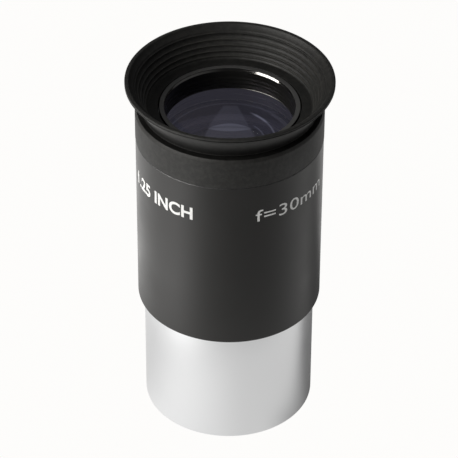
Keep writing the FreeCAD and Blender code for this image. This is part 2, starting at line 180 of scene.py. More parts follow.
# -------------------------------------------------------------------- materials
class Nodes:
    """Short calls for building a material's nodes."""

    def __init__(self, name):
        self.mat = bpy.data.materials.new(name)
        self.mat.use_nodes = True
        self.tree = self.mat.node_tree
        self.tree.nodes.clear()
        self.out = self.node("ShaderNodeOutputMaterial")
        self.coord = None

    def node(self, kind, **props):
        item = self.tree.nodes.new(kind)
        for key, value in props.items():
            setattr(item, key, value)
        return item

    def link(self, a, b):
        self.tree.links.new(a, b)

    def put(self, socket, value):
        if isinstance(value, bpy.types.NodeSocket):
            self.link(value, socket)
        else:
            socket.default_value = value

    def place(self):
        if self.coord is None:
            self.coord = self.node("ShaderNodeTexCoord").outputs["Object"]
        return self.coord

    def math(self, op, *values, clamp=False):
        item = self.node("ShaderNodeMath", operation=op, use_clamp=clamp)
        for k, v in enumerate(values):
            self.put(item.inputs[k], v)
        return item.outputs[0]

    def split(self, vector):
        item = self.node("ShaderNodeSeparateXYZ")
        self.link(vector, item.inputs[0])
        return item.outputs

    def join(self, x, y, z):
        item = self.node("ShaderNodeCombineXYZ")
        for k, v in enumerate((x, y, z)):
            self.put(item.inputs[k], v)
        return item.outputs[0]

    def around(self):
        """(radius, angle, height) of the point, in metres and radians."""
        x, y, z = self.split(self.place())
        r = self.math("SQRT", self.math("ADD", self.math("MULTIPLY", x, x), self.math("MULTIPLY", y, y)))
        return r, self.math("ARCTAN2", y, x), z

    def noise(self, vector, scale, detail=2.0, rough=0.5, dims="3D"):
        item = self.node("ShaderNodeTexNoise", noise_dimensions=dims)
        self.put(item.inputs["Vector"] if dims != "1D" else item.inputs["W"], vector)
        item.inputs["Scale"].default_value = scale
        item.inputs["Detail"].default_value = detail
        item.inputs["Roughness"].default_value = rough
        return item.outputs["Fac"]

    def spread(self, value, low, high, out_low, out_high, smooth=False):
        item = self.node("ShaderNodeMapRange")
        if smooth:
            item.interpolation_type = "SMOOTHSTEP"
        self.put(item.inputs["Value"], value)
        for key, v in (("From Min", low), ("From Max", high), ("To Min", out_low), ("To Max", out_high)):
            self.put(item.inputs[key], v)
        return item.outputs["Result"]

    def ramp(self, value, stops):
        item = self.node("ShaderNodeValToRGB")
        self.put(item.inputs["Fac"], value)
        el = item.color_ramp.elements
        while len(el) < len(stops):
            el.new(0.5)
        for e, (pos, col) in zip(el, stops):
            e.position = pos
            e.color = (*col, 1)
        return item.outputs["Color"]

    def mix(self, factor, a, b):
        item = self.node("ShaderNodeMix", data_type="RGBA")
        self.put(item.inputs[0], factor)
        for socket, v in ((item.inputs[6], a), (item.inputs[7], b)):
            if isinstance(v, tuple):
                socket.default_value = (*v, 1)
            else:
                self.put(socket, v)
        return item.outputs[2]

    def bump(self, height, distance, strength=1.0, normal=None):
        item = self.node("ShaderNodeBump")
        item.inputs["Strength"].default_value = strength
        item.inputs["Distance"].default_value = distance
        self.link(height, item.inputs["Height"])
        if normal is not None:
            self.link(normal, item.inputs["Normal"])
        return item.outputs["Normal"]

    def shader(self, **sockets):
        item = self.node("ShaderNodeBsdfPrincipled")
        names = {"color": "Base Color", "metallic": "Metallic", "rough": "Roughness", "ior": "IOR",
                 "normal": "Normal", "spec": "Specular IOR Level", "coat": "Coat Weight",
                 "coat_rough": "Coat Roughness", "sheen": "Sheen Weight", "sheen_rough": "Sheen Roughness",
                 "trans": "Transmission Weight", "film": "Thin Film Thickness", "film_ior": "Thin Film IOR",
                 "tint": "Specular Tint", "aniso": "Anisotropic", "glow": "Emission Color",
                 "glow_level": "Emission Strength"}
        for key, v in sockets.items():
            socket = item.inputs[names[key]]
            if isinstance(v, tuple):
                socket.default_value = (*v, 1)
            else:
                self.put(socket, v)
        self.link(item.outputs[0], self.out.inputs["Surface"])
        return self.mat


def satin_chrome():
    """Plated barrel: bright satin with very fine turning rings."""
    n = Nodes("satin_chrome")
    r, a, z = n.around()
    rings = n.noise(n.join(0.0, 0.0, z), 9000.0, 3.0, 0.6)
    blotch = n.noise(n.place(), 90.0, 3.0, 0.5)
    grain = n.noise(n.join(n.math("MULTIPLY", a, 0.004), 0.0, z), 5200.0, 2.0, 0.55)
    rough = n.math("ADD", n.spread(blotch, 0.35, 0.65, 0.30, 0.345), n.spread(grain, 0.3, 0.7, -0.015, 0.015))
    tone = n.mix(blotch, (0.798, 0.806, 0.818), (0.832, 0.839, 0.848))
    return n.shader(color=tone, metallic=1.0, rough=rough, aniso=0.25,
                    normal=n.bump(rings, 0.0000012, 0.8))


def blackened():
    """Matte black paint inside the metal, its tone varying a little at random."""
    n = Nodes("blackened_inside")
    fine = n.noise(n.place(), 6000.0, 2.0, 0.6)
    broad = n.noise(n.place(), 300.0, 3.0, 0.6)
    tone = n.mix(broad, (0.008, 0.008, 0.0085), (0.018, 0.0175, 0.017))
    return n.shader(color=tone, rough=n.spread(broad, 0.3, 0.7, 0.5, 0.62), spec=0.4,
                    normal=n.bump(fine, 0.000006, 0.5))


def satin_black():
    """Black anodised sleeve: satin, with a very fine blasted grain."""
    n = Nodes("satin_black_anodised")
    r, a, z = n.around()
    fine = n.noise(n.place(), 7000.0, 2.0, 0.6)
    rings = n.noise(n.join(0.0, 0.0, z), 4200.0, 2.0, 0.6)
    broad = n.noise(n.place(), 120.0, 3.0, 0.5)
    height = n.math("ADD", fine, n.math("MULTIPLY", rings, 0.35))
    tone = n.mix(broad, (0.0125, 0.0120, 0.0112), (0.0160, 0.0152, 0.0143))
    return n.shader(color=tone, rough=n.spread(broad, 0.3, 0.7, 0.33, 0.40), spec=0.42,
                    normal=n.bump(height, 0.0000022, 0.6))


def edge_metal():
    """A thin worn edge where the finish is cut through."""
    n = Nodes("bright_edge")
    r, a, z = n.around()
    wear = n.noise(n.join(n.math("MULTIPLY", a, 0.017), 0.0, z), 900.0, 3.0, 0.6)
    tone = n.mix(n.spread(wear, 0.3, 0.7, 0.0, 1.0), (0.03, 0.03, 0.03), (0.09, 0.09, 0.092))
    return n.shader(color=tone, metallic=0.6, rough=0.38)


def cell_black():
    """Black anodised eye cell: smoother and glossier than the sleeve."""
    n = Nodes("gloss_black_anodised")
    r, a, z = n.around()
    rings = n.noise(n.join(0.0, 0.0, z), 5200.0, 2.0, 0.6)
    broad = n.noise(n.place(), 220.0, 3.0, 0.5)
    tone = n.mix(broad, (0.006, 0.006, 0.0065), (0.011, 0.011, 0.0115))
    return n.shader(color=tone, rough=n.spread(broad, 0.3, 0.7, 0.16, 0.24), spec=0.5,
                    normal=n.bump(rings, 0.0000015, 0.7))


def bore_black(name, low, high, rough):
    """The bore above the eye lens: black, and polished like a dark mirror."""
    n = Nodes(name)
    broad = n.noise(n.place(), 260.0, 3.0, 0.5)
    tone = n.mix(broad, (low, low * 0.97, low * 0.93), (high, high * 0.975, high * 0.94))
    return n.shader(color=tone, metallic=1.0, rough=n.spread(broad, 0.3, 0.7, rough, rough * 1.7))


def trap_black():
    """The bore's light-trap rings: black, turned, and only half polished."""
    n = Nodes("half_matte_black_bore")
    r, a, z = n.around()
    lines = n.noise(n.join(0.0, 0.0, z), 5200.0, 2.0, 0.6)
    broad = n.noise(n.place(), 260.0, 3.0, 0.5)
    tone = n.mix(broad, (0.006, 0.0058, 0.0053), (0.011, 0.0107, 0.0098))
    return n.shader(color=tone, rough=n.spread(broad, 0.3, 0.7, 0.30, 0.38), spec=0.32,
                    normal=n.bump(lines, 0.0000015, 0.7))


def ring_grey():
    """The cell's turned top edge, grey where the black is thin."""
    n = Nodes("grey_turned_edge")
    r, a, z = n.around()
    lines = n.noise(n.join(r, 0.0, 0.0), 9000.0, 2.0, 0.6)
    broad = n.noise(n.place(), 260.0, 3.0, 0.5)
    tone = n.mix(broad, (0.085, 0.085, 0.085), (0.115, 0.113, 0.110))
    return n.shader(color=tone, metallic=0.55, rough=n.spread(lines, 0.3, 0.7, 0.36, 0.46),
                    normal=n.bump(lines, 0.000002, 0.7))


def rubber(name, low, high, rough_low, rough_high, grain=1.0):
    """Moulded matte rubber: fine leathery grain, faint blotches, dust specks, and painted shade and painted highlights
    from the hollow attribute.
    """
    n = Nodes(name)
    place = n.place()
    fine = n.noise(place, 5200.0, 3.0, 0.65)
    mid = n.noise(place, 1500.0, 3.0, 0.6)
    broad = n.noise(place, 160.0, 4.0, 0.55)
    specks = n.node("ShaderNodeTexVoronoi", feature="F1")
    n.link(place, specks.inputs["Vector"])
    specks.inputs["Scale"].default_value = 420.0
    dust = n.spread(specks.outputs["Distance"], 0.020, 0.045, 1.0, 0.0, smooth=True)
    pick = n.spread(n.noise(place, 700.0, 1.0, 0.5), 0.60, 0.66, 0.0, 1.0, smooth=True)
    dust = n.math("MULTIPLY", dust, pick)
    tone = n.mix(broad, low, high)
    speck = n.noise(place, 1000.0, 2.0, 0.75)
    tone = n.mix(n.spread(speck, 0.40, 0.68, 0.0, 0.62), tone, tuple(2.4 * v for v in high))
    tone = n.mix(n.math("MULTIPLY", dust, 0.35), tone, (0.10, 0.098, 0.09))
    # painted shade and painted highlights from the hollow attribute: plus values darken the rubber towards black and
    # take away its gloss as painted shade, minus values (crest) lighten it as painted highlights
    hollow = n.node("ShaderNodeAttribute")
    hollow.attribute_name = "hollow"
    painted_shade = n.math("MAXIMUM", hollow.outputs["Fac"], 0.0)
    crest = n.math("MAXIMUM", n.math("MULTIPLY", hollow.outputs["Fac"], -1.0), 0.0)
    outside_painted_shade = n.math("SUBTRACT", 1.0, painted_shade)
    tone = n.mix(painted_shade, tone, (0.0004, 0.0004, 0.0004))
    tone = n.mix(crest, tone, (0.045, 0.044, 0.040))
    height = n.math("ADD", n.math("MULTIPLY", fine, 0.6), mid)
    return n.shader(color=tone, rough=n.spread(broad, 0.3, 0.7, rough_low, rough_high),
                    spec=n.math("MULTIPLY", outside_painted_shade, 0.42), sheen=0.02, sheen_rough=0.45, normal=n.bump(height, 0.000009 * grain, 0.55))


def coated_glass(name, ior, film, film_ior=1.38):
    """Polished optical glass with a thin anti-reflection layer."""
    n = Nodes(name)
    smear = n.noise(n.place(), 130.0, 3.0, 0.55)
    return n.shader(color=(0.985, 0.985, 0.985), trans=1.0, ior=ior, film=film, film_ior=film_ior,
                    rough=n.spread(smear, 0.45, 0.80, 0.0, 0.003))


def ground_glass():
    """A lens's ground edge, inked black, with a faint violet glow painted in as the coatings' reflected haze."""
    n = Nodes("inked_lens_edge")
    fine = n.noise(n.place(), 3000.0, 2.0, 0.6)
    tone = n.mix(fine, (0.006, 0.006, 0.007), (0.012, 0.012, 0.013))
    return n.shader(color=tone, rough=0.5, glow=(0.76, 0.73, 1.0), glow_level=0.030)


def deep_black():
    """What is seen through the lenses: black, with a faint violet glow painted in as the coatings' reflected haze."""
    n = Nodes("black_under_coated_glass")
    broad = n.noise(n.place(), 300.0, 3.0, 0.6)
    tone = n.mix(broad, (0.006, 0.006, 0.0065), (0.010, 0.010, 0.010))
    return n.shader(color=tone, rough=0.55, glow=(0.73, 0.71, 1.0), glow_level=0.026)


def clear_join(name, painted_ghosts=False):
    """The crown's half of a cemented face, where nothing is seen but, in the eye lens, painted reflections: a glow that
    stands for the pale ghost reflections that float in the glass."""
    n = Nodes(name)
    item = n.node("ShaderNodeBsdfTransparent")
    if not painted_ghosts:
        n.link(item.outputs[0], n.out.inputs["Surface"])
        return n.mat
    x, y, z = n.split(n.place())
    x, y = n.math("MULTIPLY", x, 1000.0), n.math("MULTIPLY", y, 1000.0)

    def edge(value, at, soft):
        """1 where value is over at."""
        return n.spread(value, at - soft, at + soft, 0.0, 1.0, smooth=True)

    # a painted reflection: a fan that widens from the back to the middle of the lens
    side = n.math("ABSOLUTE", n.math("ADD", x, n.spread(y, 0.2, 7.5, 0.18, -0.10)))
    half = n.spread(y, 0.2, 7.5, 3.72, 1.26)
    fan = n.math("MULTIPLY", edge(n.math("SUBTRACT", half, side), 0.0, 0.12), edge(y, 0.3, 0.3))
    fan = n.math("MULTIPLY", fan, edge(n.math("MULTIPLY", y, -1.0), -7.50, 0.12))
    # a painted reflection: a bright crescent across its foot
    lens_x = n.math("MULTIPLY", x, 1.0 / 3.95)
    bow = n.math("SUBTRACT", 1.0, n.math("MULTIPLY", lens_x, lens_x))
    upper = n.math("ADD", n.math("MULTIPLY", bow, 1.45), -0.15)
    lower = n.math("SUBTRACT", -0.15, n.math("MULTIPLY", bow, 0.95))
    moon = n.math("MULTIPLY", edge(n.math("SUBTRACT", upper, y), 0.0, 0.14), edge(n.math("SUBTRACT", y, lower), 0.0, 0.14))
    # a painted reflection: a paler patch below the crescent
    wide = n.spread(y, -2.6, 0.0, 4.55, 3.80)
    foot = n.math("MULTIPLY", edge(n.math("SUBTRACT", -0.15, y), 0.0, 0.3),
                  edge(n.math("SUBTRACT", wide, n.math("ABSOLUTE", x)), 0.0, 0.15))
    foot = n.math("MULTIPLY", foot, edge(y, -3.1, 0.5))

    def arc(cx, cy, radius, width, first, last):
        """A thin ring's arc, between two angles in degrees."""
        dx, dy = n.math("SUBTRACT", x, cx), n.math("SUBTRACT", y, cy)
        away = n.math("SQRT", n.math("ADD", n.math("MULTIPLY", dx, dx), n.math("MULTIPLY", dy, dy)))
        off = n.math("ABSOLUTE", n.math("SUBTRACT", away, radius))
        line = n.spread(off, width * 0.35, width, 1.0, 0.0, smooth=True)
        turn = n.math("ARCTAN2", dy, dx)
        ends = n.math("MULTIPLY", edge(turn, math.radians(first), 0.05),
                      edge(n.math("MULTIPLY", turn, -1.0), -math.radians(last), 0.05))
        return n.math("MULTIPLY", line, ends)

    # painted violet haze, the same over the dark opening as over the black round it
    low = n.math("ADD", y, 13.4)
    away = n.math("SQRT", n.math("ADD", n.math("MULTIPLY", x, x), n.math("MULTIPLY", low, low)))
    haze = edge(n.math("SUBTRACT", 13.75, away), 0.0, 0.2)

    # the painted reflections' glow, with thin painted reflection arcs added in the loop
    level = n.math("ADD", n.math("MULTIPLY", fan, 0.0165), n.math("MULTIPLY", moon, 0.044))
    level = n.math("ADD", level, n.math("MULTIPLY", haze, 0.019))
    for part in ((foot, 0.0215), (arc(-1.50, -3.13, 9.76, 0.24, 8, 57), 0.060),
                 (arc(-1.50, -3.13, 9.76, 0.50, 34, 52), 0.05), (arc(0.82, -3.37, 5.46, 0.20, 8, 50), 0.045),
                 (arc(-3.03, -5.82, 15.22, 0.34, 27, 47), 0.022), (arc(0.0, -3.6, 12.0, 0.30, 28, 160), 0.014)):
        level = n.math("ADD", level, n.math("MULTIPLY", part[0], part[1]))
    light = n.node("ShaderNodeEmission")
    light.inputs["Color"].default_value = (0.72, 0.74, 1.0, 1)
    n.link(level, light.inputs["Strength"])
    both = n.node("ShaderNodeAddShader")
    n.link(item.outputs[0], both.inputs[0])
    n.link(light.outputs[0], both.inputs[1])
    n.link(both.outputs[0], n.out.inputs["Surface"])
    return n.mat


def ground_bevel():
    """A lens's fine ground bevel, with a painted glint: it glows as a thin ring."""
    n = Nodes("ground_bevel")
    fine = n.noise(n.place(), 900.0, 2.0, 0.6)
    tone = n.mix(fine, (0.05, 0.05, 0.055), (0.09, 0.09, 0.10))
    return n.shader(color=tone, rough=0.5, glow=(0.82, 0.80, 1.0), glow_level=0.034)


def print_white():
    n = Nodes("printed_white")
    fine = n.noise(n.place(), 2600.0, 3.0, 0.6)
    tone = n.mix(n.spread(fine, 0.3, 0.7, 0.0, 1.0), (0.68, 0.68, 0.67), (0.82, 0.82, 0.81))
    # the faint glow is painted light that brightens the print
    return n.shader(color=tone, rough=0.45, glow=(1.0, 1.0, 0.98), glow_level=0.05)


M_CHROME = satin_chrome()
M_INSIDE = blackened()
M_SLEEVE = satin_black()
M_EDGE = edge_metal()
M_CELL = cell_black()
M_BORE = bore_black("polished_black_bore", 0.20, 0.26, 0.07)
M_TRAP = trap_black()
M_SEAT = bore_black("lens_seat_edge", 0.050, 0.070, 0.20)
M_RING = ring_grey()
M_CUP = rubber("eyecup_rubber", (0.0070, 0.0069, 0.0062), (0.0105, 0.0102, 0.0092), 0.56, 0.63)
M_PRINT = print_white()
M_INK = ground_glass()
M_DEEP = deep_black()
M_JOIN = clear_join("cement_with_painted_reflections", True)
M_CLEAR = clear_join("cement_clear")
M_GROUND = ground_bevel()
M_FLINT = coated_glass("flint_glass", 1.62, 128.0)
M_CROWN = coated_glass("crown_glass", 1.52, 122.0)
M_CEMENT = coated_glass("cement_face", 1.62 / 1.52, 0.0)


# ------------------------------------------------------------- nosepiece barrel
lo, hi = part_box("nosepiece_barrel")
SHOULDER = 24.20
barrel_outline = (
    [(15.875 - 0.16, 0.0), (15.82, 0.015), (15.863, 0.07), (15.875, 0.17), (15.875, SHOULDER - 0.06),
     (15.83, SHOULDER), (15.0, SHOULDER), (14.95, SHOULDER + 0.05), (14.95, 24.80), (15.30, 25.15)]
    + threaded_run(15.35, 15.35, 25.20, 29.10, 0.75)
    + [(15.28, 29.22), (15.06, 29.40), (13.65, 29.40), (13.6, 29.35), (13.6, 20.6), (14.4, 20.6)]
    + [(14.4, 18.0)]
)
for k in range(13):                          # light-trap rings, from the top down
    zc = 17.4 - 0.8 * k
    barrel_outline += [(14.4, zc + 0.02), (14.57, zc - 0.30), (14.57, zc - 0.40), (14.4, zc - 0.72)]
barrel_outline += [(14.4, 4.95), (14.35, 4.9), (13.93, 4.88)]
barrel_outline += threaded_run(13.93, 13.93, 4.85, 0.55, 0.6)
barrel_outline += [(13.95, 0.5), (14.40, 0.06), (14.46, 0.0)]

cut_in = helix(15.35, 0.33, 0.75, 25.20, 29.10)
cut_out = helix(13.93, -0.32, 0.6, 0.55, 4.85)


def barrel_thread(r, z, t):
    return cut_in(r, z, t) if z > 20 else cut_out(r, z, t)


barrel = lathe("nosepiece_barrel_turned", barrel_outline, [M_CHROME, M_INSIDE],
               pick=lambda r, z: 1 if (r < 14.9 and 0.5 < z < 29.36) else 0, thread=barrel_thread)
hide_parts("nosepiece_barrel")
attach(barrel, "nosepiece")

# ------------------------------------------------------------------ body sleeve
sleeve_outline = (
    [(15.95, 24.08), (15.99, 24.05), (16.97, 24.05), (17.045, 24.075), (17.08, 24.15)]
    + [(17.08, 24.4), (17.08, 59.03), (17.00, 59.136), (16.97, 59.15)]
    + [(14.95, 59.15), (14.9, 59.10)]
    + [(14.9, 50.4), (15.2, 50.1), (15.2, 31.1), (15.8, 30.8), (15.8, 30.2)]
    + threaded_run(15.45, 15.45, 30.15, 24.55, 0.75)
    + [(15.45, 24.2), (15.95, 24.2)]
)
sleeve_cut = helix(15.45, -0.3, 0.75, 24.55, 30.15)
sleeve = lathe("body_sleeve_turned", sleeve_outline, [M_SLEEVE, M_INSIDE, M_EDGE],
               pick=lambda r, z: 2 if (z > 59.05 and r > 16.99) else (1 if r < 15.9 else 0),
               thread=lambda r, z, t: sleeve_cut(r, z, t) if z < 31 else r)
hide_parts("body_sleeve")
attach(sleeve, "housing")

# --------------------------------------------------------------------- eye cell
cell_outline = [(14.3, 38.6), (14.3, 50.7), (14.78, 51.2)]
cell_outline += threaded_run(14.8, 14.8, 51.3, 58.9, 0.75)
cell_outline += [(14.8, 59.15), (15.3, 59.15), (15.3, 62.6), (14.5, 62.6), (14.5, 63.55), (15.05, 63.55),
                 (15.05, 64.25), (12.72, 64.25), (12.72, 65.30), (12.67, 65.35), (11.91, 65.35), (11.86, 65.31)]
for z in (65.17, 64.99, 64.81):              # fine polished facets at the top of the bore
    cell_outline += [(11.85, z), (11.93, z - 0.005), (11.93, z - 0.015), (11.85, z - 0.122)]
for z in (63.70, 62.90, 62.10):              # light-trap rings in the lower half of the bore
    cell_outline += [(11.85, z), (11.93, z - 0.30), (11.93, z - 0.42), (11.85, z - 0.70)]
cell_outline += [(11.85, 60.98), (11.80, 60.92), (11.78, 60.87), (11.80, 60.85), (12.55, 60.85), (12.55, 40.5),
                 (12.75, 40.5)]
cell_outline += threaded_run(12.75, 12.75, 40.4, 38.8, 0.5)
cell_outline += [(12.8, 38.6)]
cell_in = helix(14.8, 0.28, 0.75, 51.3, 58.9)
cell_nut = helix(12.75, -0.18, 0.5, 38.8, 40.4, tol=0.03)
cell = lathe("eye_cell_turned", cell_outline, [M_CELL, M_RING, M_DEEP, M_BORE, M_SEAT, M_TRAP],
             pick=lambda r, z: 1 if (z > 65.26 and r > 11.88) else (2 if z < 60.85 else (
                 3 if (11.86 < r < 11.92 and z > 64.2) else (
                     4 if (r < 11.84 and z < 61.1) else (5 if (r < 11.95 and z < 65.3) else 0)))),
             thread=lambda r, z, t: cell_in(r, z, t) if r > 14 else cell_nut(r, z, t))
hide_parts("eye_cell")
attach(cell, "housing")


# ----------------------------------------------------------------------- optics
def cap(radius, vertex, sign, reach, steps=40):
    """Points of a spherical face from the axis out to reach; sign +1 when its
    edge is lower than its vertex."""
    return [(reach * k / steps,
             vertex - sign * (radius - math.sqrt(radius * radius - (reach * k / steps) ** 2)))
            for k in range(steps + 1)]


def lens(name, top, bottom, mats, pick, node, bevel=None):
    """top and bottom are caps from the axis outward; the edge has a small
    ground bevel."""
    edge_r = 12.5
    b = 0.12
    top = [p for p in top if p[0] < edge_r - b]
    bottom = [p for p in bottom if p[0] < edge_r - b]
    zt, zb = top[-1][1], bottom[-1][1]
    outline = top + [(edge_r - b, zt), (edge_r, zt - b), (edge_r, zb + b), (edge_r - b, zb)] + bottom[::-1]
    low = zb + b + 0.01
    choose = (lambda r, z: bevel if (bevel and r > 12.385 and z < low) else pick(r, z))
    obj = lathe(name, outline, mats, pick=choose, seg=SEG, angle=25.0)
    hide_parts(node)
    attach(obj, "housing")
    return obj


R = 12.5
EYE = cap(200.51, 61.19, 1, R)
CEM_A = cap(27.0, 59.19, 1, R)
CRO_A = cap(30.0, 51.19, -1, R)
CRO_B = cap(30.0, 50.59, 1, R)
CEM_B = cap(27.0, 42.59, -1, R)
FLD = cap(200.51, 40.59, -1, R)


def height(curve, r):
    """z of a cap at radius r."""
    for (r0, z0), (r1, z1) in zip(curve, curve[1:]):
        if r <= r1:
            return z0 + (z1 - z0) * (r - r0) / (r1 - r0)
    return curve[-1][1]


def lens_pick(upper, lower):
    """0 on the upper face, 1 on the lower face, 2 on the edge."""
    def pick(r, z):
        if r > 12.36:
            return 2
        return 0 if abs(z - height(upper, r)) < abs(z - height(lower, r)) else 1
    return pick


lens("eye_flint_glass", EYE, CEM_A, [M_FLINT, M_CEMENT, M_INK], lens_pick(EYE, CEM_A), "eye_flint_lens")
# the crowns keep a few micrometres of cement, so that no two faces coincide
lens("eye_crown_glass", cap(27.0, 59.185, 1, R), CRO_A, [M_JOIN, M_CROWN, M_INK, M_GROUND], lens_pick(CEM_A, CRO_A),
     "eye_crown_lens", 3)
lens("field_crown_glass", CRO_B, cap(27.0, 42.595, -1, R), [M_CROWN, M_CLEAR, M_INK], lens_pick(CRO_B, CEM_B), "field_crown_lens")
lens("field_flint_glass", CEM_B, FLD, [M_CEMENT, M_FLINT, M_INK], lens_pick(CEM_B, FLD), "field_flint_lens")

# the parts seen through the lenses take the black with its painted violet glow
for node in ("field_stop", "lens_spacer_ring", "lens_retaining_ring"):
    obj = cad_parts[node]
    obj.data.materials.clear()
    obj.data.materials.append(M_DEEP)

# ----------------------------------------------------------------------- eyecup
def shade_flare(obj):
    """Painted shade and painted highlights on the rubber, kept with each vertex as the hollow attribute so that they
    move with the rubber.
    Plus values are painted shade, minus values painted highlights."""
    painted_shade_and_highlight = obj.data.attributes.new("hollow", "FLOAT", "POINT")
    for v, item in zip(obj.data.vertices, painted_shade_and_highlight.data):
        r, z = math.hypot(v.co.x, v.co.y) / MM, v.co.z / MM
        # inside: painted highlights on the scallop crests, painted shade on the well floor low in the cup; outside:
        # painted shade in a thin line in the rim's groove, in the gap under the flare and on the flare's outside,
        # darker towards its bottom, and a painted highlight on the collar's top edge
        outside = r > 15.62 + 0.42 * (z - 65.6)
        if not outside:
            near = min(math.hypot(r - cr, z - cz) for cr, cz in crests[1:])
            item.value = -0.50 if near < 0.150 else (0.32 if r < 14.9 and z < 65.6 else 0.0)
        elif 70.5 < z < 70.65 and r > 18.8:
            item.value = 0.6
        elif z < 65.2:
            item.value = -0.10 if z > 64.30 and r > 16.8 else 0.0
        elif z < 65.50:
            item.value = 0.62
        elif z < 65.72:
            item.value = 0.25
        else:
            item.value = max(0.0, min(1.0, (69.0 - z) / 2.4)) * 0.66


CUT = 69.67                                  # the crest at which the cup folds
flare_outer = lambda z: 18.70 - (70.30 - z) * 0.66

# inside, from the crest down: ring-shaped scallops with sharp crests
crests = [(16.90, CUT), (16.40, 68.64), (15.85, 67.70), (15.37, 66.80), (15.02, 65.95)]
scallops = []
for (r0, z0), (r1, z1) in zip(crests, crests[1:]):
    # under the crest, a short undercut, then a hollow that ends in a thin
    # ledge on the next crest
    scallops.append((r0 + 0.035, z0 - 0.10))
    scallops += arc_between((r0 + 0.035, z0 - 0.10), (r1 + 0.13, z1 + 0.03), 0.15, 9)
    scallops.append((r1 + 0.02, z1 + 0.012))
    scallops.append((r1, z1 - 0.02))
scallops += [(15.03, 65.86)] + arc_between((15.03, 65.86), (14.62, 65.27), 0.14, 7)

base = rounded([
    (15.40, 59.20, 0.03), (17.128, 59.20, 0.06), (17.122, 63.70, 0.01), (17.118, 64.62, 0.70), (16.80, 65.28, 0.22),
    (15.55, 65.30, 0.10), (15.55, 65.46, 0.06), (15.98, 65.54, 0.05), (16.05, 65.66, 0.05)], steps=6)
# the rounded() corner list is closed; its last corner leads up the flare
hollow = [(15.99, 65.78), (16.02, 66.0), (16.13, 66.35), (16.30, 66.75), (16.53, 67.2), (16.80, 67.65),
          (17.10, 68.1), (17.42, 68.55), (17.75, 69.0), (18.06, 69.4), (flare_outer(CUT), CUT)]
base = base + hollow
base += [(16.905, CUT), (16.90, CUT - 0.02)]
base += [p for p in scallops if p[1] < CUT - 0.03]
base += [(14.45, 65.255), (13.10, 65.25), (13.0, 65.22), (12.95, 65.15), (12.95, 64.37), (15.15, 64.37),
         (15.15, 63.43), (14.6, 63.43), (14.6, 62.72), (15.4, 62.72)]
cup_base = lathe("eyecup_base", base, [M_CUP], seg=SEG, angle=38.0)
shade_flare(cup_base)
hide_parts("eyecup_collar", "eyecup_lower_wall")
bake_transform(cup_base)

top = [(16.905, CUT - 0.01), (flare_outer(CUT), CUT - 0.01), (flare_outer(69.9), 69.9),
       (flare_outer(70.15), 70.15), (flare_outer(70.30), 70.30)]
top += [(18.80, 70.325), (18.855, 70.345), (18.872, 70.38), (18.872, 70.50), (18.865, 70.53), (18.835, 70.56),
        (18.835, 70.60), (18.87, 70.63), (18.882, 70.67), (18.884, 70.80), (18.87, 70.88), (18.82, 70.945),
        (18.74, 70.985), (18.62, 71.0), (18.30, 70.995), (18.20, 70.975), (18.12, 70.93)]
top += arc_between((18.12, 70.93), (17.27, 70.06), 0.07, 14)
top += [(17.235, 70.02), (17.21, 69.98), (17.185, 69.90), (17.15, 69.85)]
top += arc_between((17.15, 69.85), (16.955, 69.735), 0.02, 4)
top += [(16.92, 69.705), (16.90, CUT)]
cup_top = lathe("eyecup_flare_rim", top, [M_CUP], seg=SEG, angle=38.0)
shade_flare(cup_top)
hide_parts("eyecup_crease", "eyecup_upper_wall", "eyecup_rim")
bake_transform(cup_top)


# --------------------------------------------------------------------- markings
def marking(name, text, size, azimuth, end, z_base, radius, heavy=0.0, gap=1.0):
    """Printed characters wrapped on the sleeve, from azimuth to end, in
    degrees from +X."""
    curve = bpy.data.curves.new(name + "_text", "FONT")
    curve.body = text
    curve.size = size
    curve.offset = heavy
    curve.space_character = gap
    curve.resolution_u = 6
    tmp = bpy.data.objects.new(name + "_text", curve)
    scene.collection.objects.link(tmp)
    bpy.context.view_layer.update()
    flat = bpy.data.meshes.new_from_object(tmp)
    bpy.data.objects.remove(tmp)
    bm = bmesh.new()
    bm.from_mesh(flat)
    bpy.data.meshes.remove(flat)
    # slices in x, so that the flat glyphs can bend round the sleeve
    xs = [v.co.x for v in bm.verts]
    x = min(xs) + 0.25
    while x < max(xs):
        bmesh.ops.bisect_plane(bm, geom=bm.verts[:] + bm.edges[:] + bm.faces[:], plane_co=(x, 0, 0), plane_no=(1, 0, 0))
        x += 0.25
    low_x = min(v.co.x for v in bm.verts)
    squeeze = math.radians(end - azimuth) * radius / (max(v.co.x for v in bm.verts) - low_x)
    made = bmesh.ops.extrude_face_region(bm, geom=bm.faces[:])
    raised = {v for v in made["geom"] if isinstance(v, bmesh.types.BMVert)}
    for v in bm.verts:
        t = math.radians(azimuth) + (v.co.x - low_x) * squeeze / radius
        rr = (radius + (0.012 if v in raised else -0.02)) * MM
        v.co = Vector((rr * math.cos(t), rr * math.sin(t), (z_base + v.co.y) * MM))
    bmesh.ops.remove_doubles(bm, verts=bm.verts, dist=1e-7)
    obj = new_object(name, bm, [M_PRINT], 30.0)
    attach(obj, "housing")
    return obj


CAP_UNIT = 0.729                              # a capital's height in the built-in font, per unit of size
size = 2.62 / CAP_UNIT
marking("marking_focal_length", "f=30mm", size, -74.0, -17.7, 51.42, 17.08, 0.0, 1.05)
marking("marking_barrel_size", "1.25 INCH", size, -165.0, -112.5, 51.42, 17.08, 0.10, 1.02)

# ------------------------------------------------------------------------ stage
def plane_at(name, size, z, mat):
    bm = bmesh.new()
    s = size / 2
    vs = [bm.verts.new((x * s, y * s, z)) for x, y in ((-1, -1), (1, -1), (1, 1), (-1, 1))]
    bm.faces.new(vs)
    mesh = bpy.data.meshes.new(name)
    bm.to_mesh(mesh)
    bm.free()
    mesh.materials.append(mat)
    obj = bpy.data.objects.new(name, mesh)
    scene.collection.objects.link(obj)
    return obj


